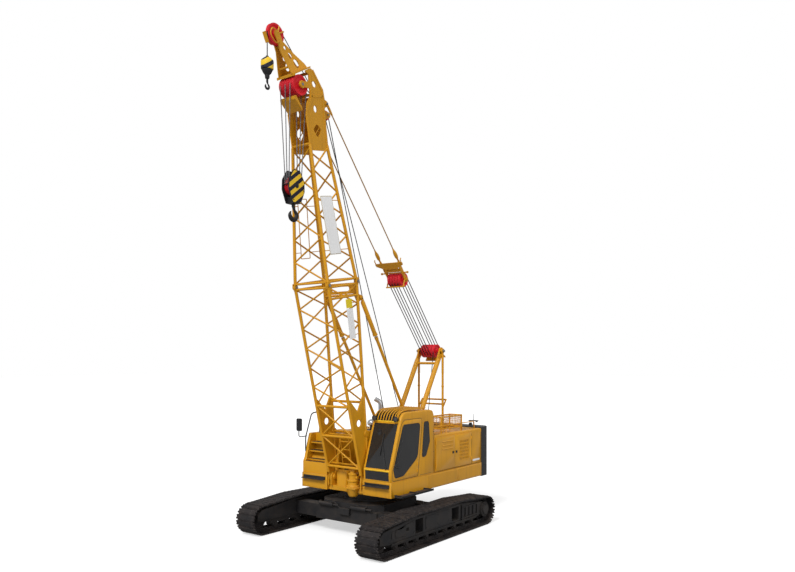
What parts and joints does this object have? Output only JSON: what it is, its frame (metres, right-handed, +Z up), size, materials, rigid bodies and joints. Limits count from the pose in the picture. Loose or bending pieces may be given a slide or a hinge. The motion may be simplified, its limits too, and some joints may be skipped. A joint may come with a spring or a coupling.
{
  "type": "crawler crane with a lattice boom",
  "caption": "Tracked lifting crane with a slewing upper body, side cab, latticed boom on luffing pendants, rear gantry, counterweight, and a main and an auxiliary hook.",
  "frame": {"origin": "on the ground, below the slewing axis", "axes": "+X forward out of the front, +Y to the crane's left, +Z up"},
  "size_m": [8.6642, 5.26, 13.8677],
  "materials": {
    "yellow_paint": "semi-gloss warm yellow paint, lightly worn",
    "black_paint": "satin black paint, dusty",
    "track_steel": "worn near-black steel, dusty",
    "dark_grey_paint": "satin dark grey paint",
    "red_paint": "satin red paint, worn bare in the grooves",
    "bare_silver": "bright bare metal",
    "dark_glass": "dark tinted glass",
    "rope_steel": "greased steel wire rope",
    "pendant_paint": "painted steel rope and sockets",
    "black_vinyl": "matte black vinyl and plastic"
  },
  "bodies": {
    "carbody": {"carbody": "black_paint", "slew_ring": "dark_grey_paint"},
    "track_side_left": {"track_frame_left": "black_paint", "track_belt_left": "track_steel", "sprocket_left": "track_steel", "idler_left": "track_steel"},
    "track_side_right": {"track_frame_right": "black_paint", "track_belt_right": "track_steel", "sprocket_right": "track_steel", "idler_right": "track_steel"},
    "upper": {"upper_frame": "yellow_paint", "left_house": "yellow_paint", "right_house": "yellow_paint", "right_front_box": "yellow_paint", "right_handrail_mirror": "black_paint", "engine": "dark_grey_paint", "exhaust_and_air_cleaner": "bare_silver", "roof_cage": "yellow_paint", "counterweight_lower": "dark_grey_paint", "counterweight_middle": "dark_grey_paint", "counterweight_upper": "dark_grey_paint", "cab_shell": "yellow_paint", "windshield": "dark_glass", "lower_windshield": "dark_glass", "seat_and_controls": "black_vinyl", "cab_roof_guard": "yellow_paint", "gantry_front_legs": "yellow_paint", "gantry_rear_legs": "yellow_paint"},
    "cab_door": {"cab_door": "yellow_paint", "cab_door_glass": "dark_glass"},
    "left_door_front": {"left_door_front": "yellow_paint"},
    "left_door_rear": {"left_door_rear": "yellow_paint"},
    "right_door_front": {"right_door_front": "yellow_paint"},
    "right_door_rear": {"right_door_rear": "yellow_paint"},
    "main_drum": {"main_drum": "dark_grey_paint"},
    "aux_drum": {"aux_drum": "dark_grey_paint"},
    "luffing_drum": {"luffing_drum": "dark_grey_paint"},
    "gantry_sheaves": {"gantry_sheaves": "red_paint"},
    "boom": {"boom_base": "yellow_paint", "boom_top": "yellow_paint", "boom_tip_extension": "yellow_paint"},
    "head_sheaves": {"head_sheaves": "red_paint"},
    "guide_sheaves": {"guide_sheaves": "red_paint"},
    "tip_sheave": {"tip_sheave": "red_paint"},
    "luffing_falls": {"luffing_rope": "rope_steel"},
    "equalizer": {"equalizer": "yellow_paint", "pendant_left": "pendant_paint", "pendant_right": "pendant_paint"},
    "equalizer_sheaves": {"equalizer_sheaves": "red_paint"},
    "backstop_heads": {"backstop_head_left": "yellow_paint", "backstop_head_right": "yellow_paint"},
    "backstop_stays": {"backstop_stay_left": "yellow_paint", "backstop_stay_right": "yellow_paint"},
    "main_fall": {"main_hoist_rope": "rope_steel"},
    "main_hook_block": {"main_hook_block": "yellow_paint"},
    "block_sheaves": {"block_sheaves": "red_paint"},
    "main_hook": {"main_hook": "black_paint"},
    "aux_fall": {"aux_hoist_rope": "rope_steel"},
    "aux_weight": {"aux_weight": "yellow_paint"},
    "aux_hook": {"aux_hook": "black_paint"}
  },
  "joints": [
    {"name": "slew", "type": "hinge", "parent": "carbody", "child": "upper", "pos_m": [0, 0, 1.15], "axis": [0, 0, 1], "continuous": true},
    {"name": "track_extend_left", "type": "slide", "parent": "carbody", "child": "track_side_left", "axis": [0, -1, 0], "range_m": [0, 0.42]},
    {"name": "track_extend_right", "type": "slide", "parent": "carbody", "child": "track_side_right", "axis": [0, 1, 0], "range_m": [0, 0.42]},
    {"name": "cab_door_hinge", "type": "hinge", "parent": "upper", "child": "cab_door", "pos_m": [-0.084, 1.698, 2.5], "axis": [0, 0, 1], "range_deg": [0, 100]},
    {"name": "left_front_door_hinge", "type": "hinge", "parent": "upper", "child": "left_door_front", "pos_m": [-1.0504, 1.706, 2.2], "axis": [0, 0, 1], "range_deg": [-110, 0]},
    {"name": "left_rear_door_hinge", "type": "hinge", "parent": "upper", "child": "left_door_rear", "pos_m": [-3.0996, 1.706, 2.2], "axis": [0, 0, -1], "range_deg": [-110, 0]},
    {"name": "right_front_door_hinge", "type": "hinge", "parent": "upper", "child": "right_door_front", "pos_m": [-1.0504, -1.706, 2.2], "axis": [0, 0, -1], "range_deg": [-110, 0]},
    {"name": "right_rear_door_hinge", "type": "hinge", "parent": "upper", "child": "right_door_rear", "pos_m": [-3.0996, -1.706, 2.2], "axis": [0, 0, 1], "range_deg": [-110, 0]},
    {"name": "main_drum_spin", "type": "hinge", "parent": "upper", "child": "main_drum", "pos_m": [-0.75, 0, 2.05], "axis": [0, 1, 0], "continuous": true},
    {"name": "aux_drum_spin", "type": "hinge", "parent": "upper", "child": "aux_drum", "pos_m": [-1.95, 0, 2.05], "axis": [0, 1, 0], "continuous": true},
    {"name": "luffing_drum_spin", "type": "hinge", "parent": "upper", "child": "luffing_drum", "pos_m": [-2.95, 0, 1.9], "axis": [0, 1, 0], "continuous": true},
    {"name": "gantry_sheave_spin", "type": "hinge", "parent": "upper", "child": "gantry_sheaves", "pos_m": [-3.263, 0, 5.381], "axis": [0, 1, 0], "continuous": true},
    {"name": "boom_luff", "type": "hinge", "parent": "upper", "child": "boom", "pos_m": [1, 0, 1.65], "axis": [0, -1, 0], "range_deg": [-50, 1]},
    {"name": "head_sheave_spin", "type": "hinge", "parent": "boom", "child": "head_sheaves", "pos_m": [3.28436, 0, 12.4169], "axis": [0, 1, 0], "continuous": true},
    {"name": "guide_sheave_spin", "type": "hinge", "parent": "boom", "child": "guide_sheaves", "pos_m": [2.10442, 0, 11.94462], "axis": [0, 1, 0], "continuous": true},
    {"name": "tip_sheave_spin", "type": "hinge", "parent": "boom", "child": "tip_sheave", "pos_m": [3.9579, 0, 13.58773], "axis": [0, 1, 0], "continuous": true},
    {"name": "luffing_falls_swing", "type": "hinge", "parent": "upper", "child": "luffing_falls", "pos_m": [-3.263, 0, 5.381], "axis": [0, -1, 0], "range_deg": [-41.8, 0.85]},
    {"name": "equalizer_run", "type": "slide", "parent": "luffing_falls", "child": "equalizer", "axis": [0.6381, 0, 0.77], "range_m": [-0.0916, 4.5307]},
    {"name": "equalizer_sheave_spin", "type": "hinge", "parent": "equalizer", "child": "equalizer_sheaves", "pos_m": [-1.3896, 0, 7.64163], "axis": [0, 1, 0], "continuous": true},
    {"name": "backstop_swing", "type": "hinge", "parent": "boom", "child": "backstop_heads", "pos_m": [1.22345, 0, 6.89082], "axis": [0, -1, 0], "range_deg": [-0.27, 13]},
    {"name": "backstop_extend", "type": "slide", "parent": "backstop_heads", "child": "backstop_stays", "axis": [-0.5276, 0, -0.8495], "range_m": [-0.0374, 1.8213]},
    {"name": "main_fall_swing", "type": "hinge", "parent": "boom", "child": "main_fall", "pos_m": [3.28436, 0, 12.4169], "axis": [0, -1, 0], "range_deg": [-1, 50]},
    {"name": "main_hoist", "type": "slide", "parent": "main_fall", "child": "main_hook_block", "axis": [0, 0, -1], "range_m": [0, 7.5]},
    {"name": "block_sheave_spin", "type": "hinge", "parent": "main_hook_block", "child": "block_sheaves", "pos_m": [3.28436, 0, 9.76], "axis": [0, 1, 0], "continuous": true},
    {"name": "main_hook_swivel", "type": "hinge", "parent": "main_hook_block", "child": "main_hook", "pos_m": [3.28436, 0, 9.2], "axis": [0, 0, 1], "continuous": true},
    {"name": "aux_fall_swing", "type": "hinge", "parent": "boom", "child": "aux_fall", "pos_m": [3.9579, 0, 13.58773], "axis": [0, -1, 0], "range_deg": [-1, 50]},
    {"name": "aux_hoist", "type": "slide", "parent": "aux_fall", "child": "aux_weight", "axis": [0, 0, -1], "range_m": [0, 10.3]},
    {"name": "aux_hook_swivel", "type": "hinge", "parent": "aux_weight", "child": "aux_hook", "pos_m": [4.2242, 0, 12.3], "axis": [0, 0, 1], "continuous": true}
  ],
  "couplings": [
    {"joint": "luffing_falls_swing", "follows": "boom_luff", "ratio": 0.83556},
    {"joint": "equalizer_run", "follows": "boom_luff", "m_per_rad": -5.1906},
    {"joint": "backstop_swing", "follows": "boom_luff", "ratio": -0.25961},
    {"joint": "backstop_extend", "follows": "boom_luff", "m_per_rad": -2.0859},
    {"joint": "main_fall_swing", "follows": "boom_luff", "ratio": -1},
    {"joint": "aux_fall_swing", "follows": "boom_luff", "ratio": -1}
  ]
}
